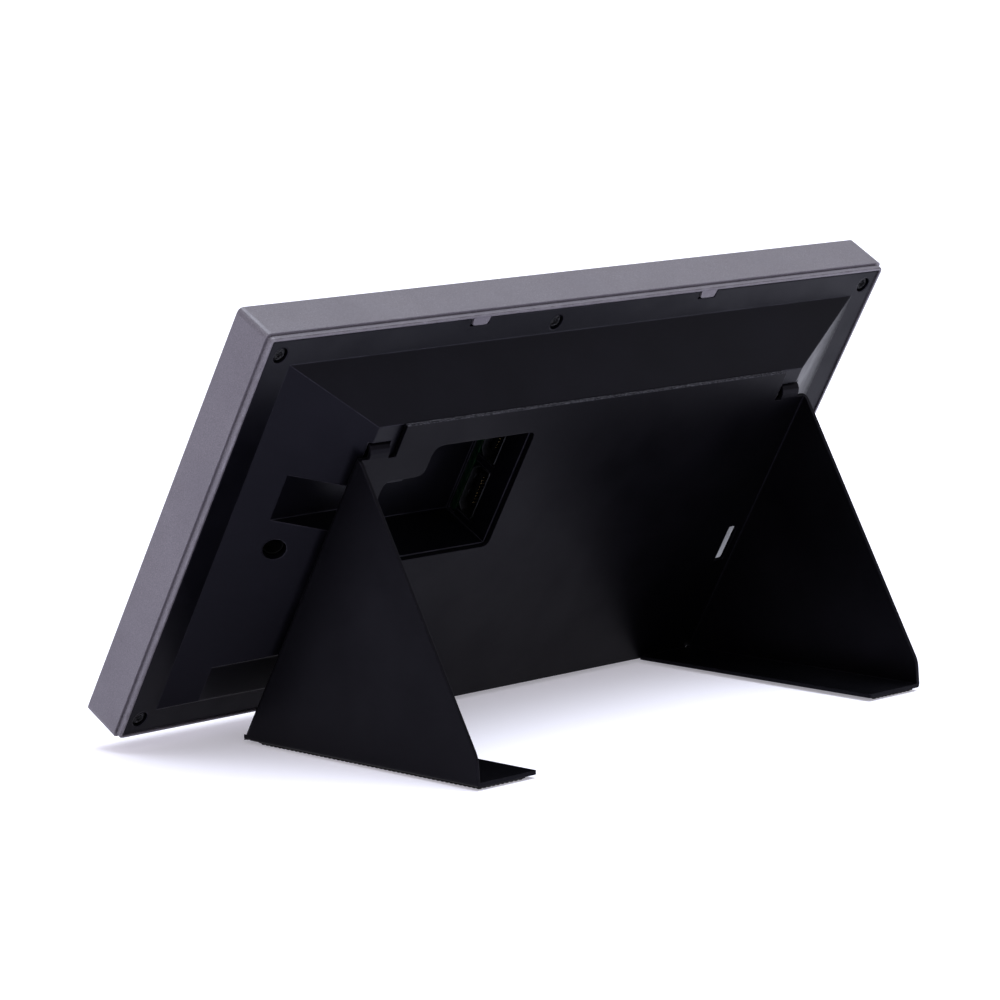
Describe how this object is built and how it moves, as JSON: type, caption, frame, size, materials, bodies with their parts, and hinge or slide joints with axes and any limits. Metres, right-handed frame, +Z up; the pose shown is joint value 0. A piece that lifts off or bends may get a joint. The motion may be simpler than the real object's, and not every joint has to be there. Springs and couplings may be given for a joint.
{
  "type": "digital photo frame",
  "caption": "Digital photo frame leaning back on a folded sheet-metal stand, its raised rear cover hooked over the stand's plate, with a sunk pocket for its connectors.",
  "frame": {"origin": "centre of the bottom of the whole object's box, on the surface that the foot pads stand on", "axes": "+Z up, screen facing -Y and leaning back towards +Y, +X to the right as seen from the front"},
  "size_m": [0.22, 0.1064, 0.1126],
  "materials": {
    "frame_paint": "satin mauve-grey metallic paint with a very fine grain",
    "screen_glass": "clear cover glass over a dark screen",
    "gasket_foam": "black foam tape",
    "black_plastic": "moulded black plastic",
    "screen_panel": "dark switched-off liquid-crystal panel",
    "clear_acrylic": "clear acrylic light guide",
    "led_tape": "white tape with small light-emitting diodes",
    "tray_steel": "thin bright steel sheet",
    "flex_film": "amber flexible circuit film",
    "board_green": "green solder resist on glass-fibre board",
    "chip_black": "matt black chip package",
    "socket_plastic": "black socket plastic",
    "port_steel": "plated steel receptacle shell",
    "lead_sleeve": "black lead sleeve",
    "cover_plastic": "finely grained black moulded plastic",
    "stand_steel": "black powder-coated sheet steel, satin",
    "pad_rubber": "black rubber with small studs",
    "black_screw": "black oxide screw",
    "bright_screw": "zinc-plated screw"
  },
  "bodies": {
    "stand": {"stand_bracket": "stand_steel", "foot_pad_left": "pad_rubber", "foot_pad_right": "pad_rubber"},
    "display": {"outer_frame": "frame_paint", "front_glass": "screen_glass", "panel_gasket": "gasket_foam", "inner_frame": "black_plastic", "lcd_panel": "screen_panel", "light_guide": "clear_acrylic", "led_strip": "led_tape", "backlight_tray": "tray_steel", "flex_cable": "flex_film", "chassis_plate": "tray_steel", "main_board": "board_green", "main_chip": "chip_black", "flex_socket": "socket_plastic", "hdmi_port_lower": "port_steel", "hdmi_port_upper": "port_steel", "power_jack": "socket_plastic", "power_lead": "lead_sleeve", "power_socket": "socket_plastic", "rear_cover": "cover_plastic", "cover_screw_top_left": "black_screw", "cover_screw_top_middle": "black_screw", "cover_screw_top_right": "black_screw", "cover_screw_bottom_left": "black_screw", "cover_screw_bottom_middle": "black_screw", "cover_screw_bottom_right": "black_screw", "board_screw_lower_left": "bright_screw", "board_screw_lower_right": "bright_screw", "board_screw_upper_left": "bright_screw", "board_screw_upper_right": "bright_screw"}
  },
  "joints": [
    {"name": "display_swing", "type": "hinge", "parent": "stand", "child": "display", "pos_m": [0, 0.01795, 0.08219], "axis": [-1, 0, 0], "range_deg": [0, 12]}
  ]
}
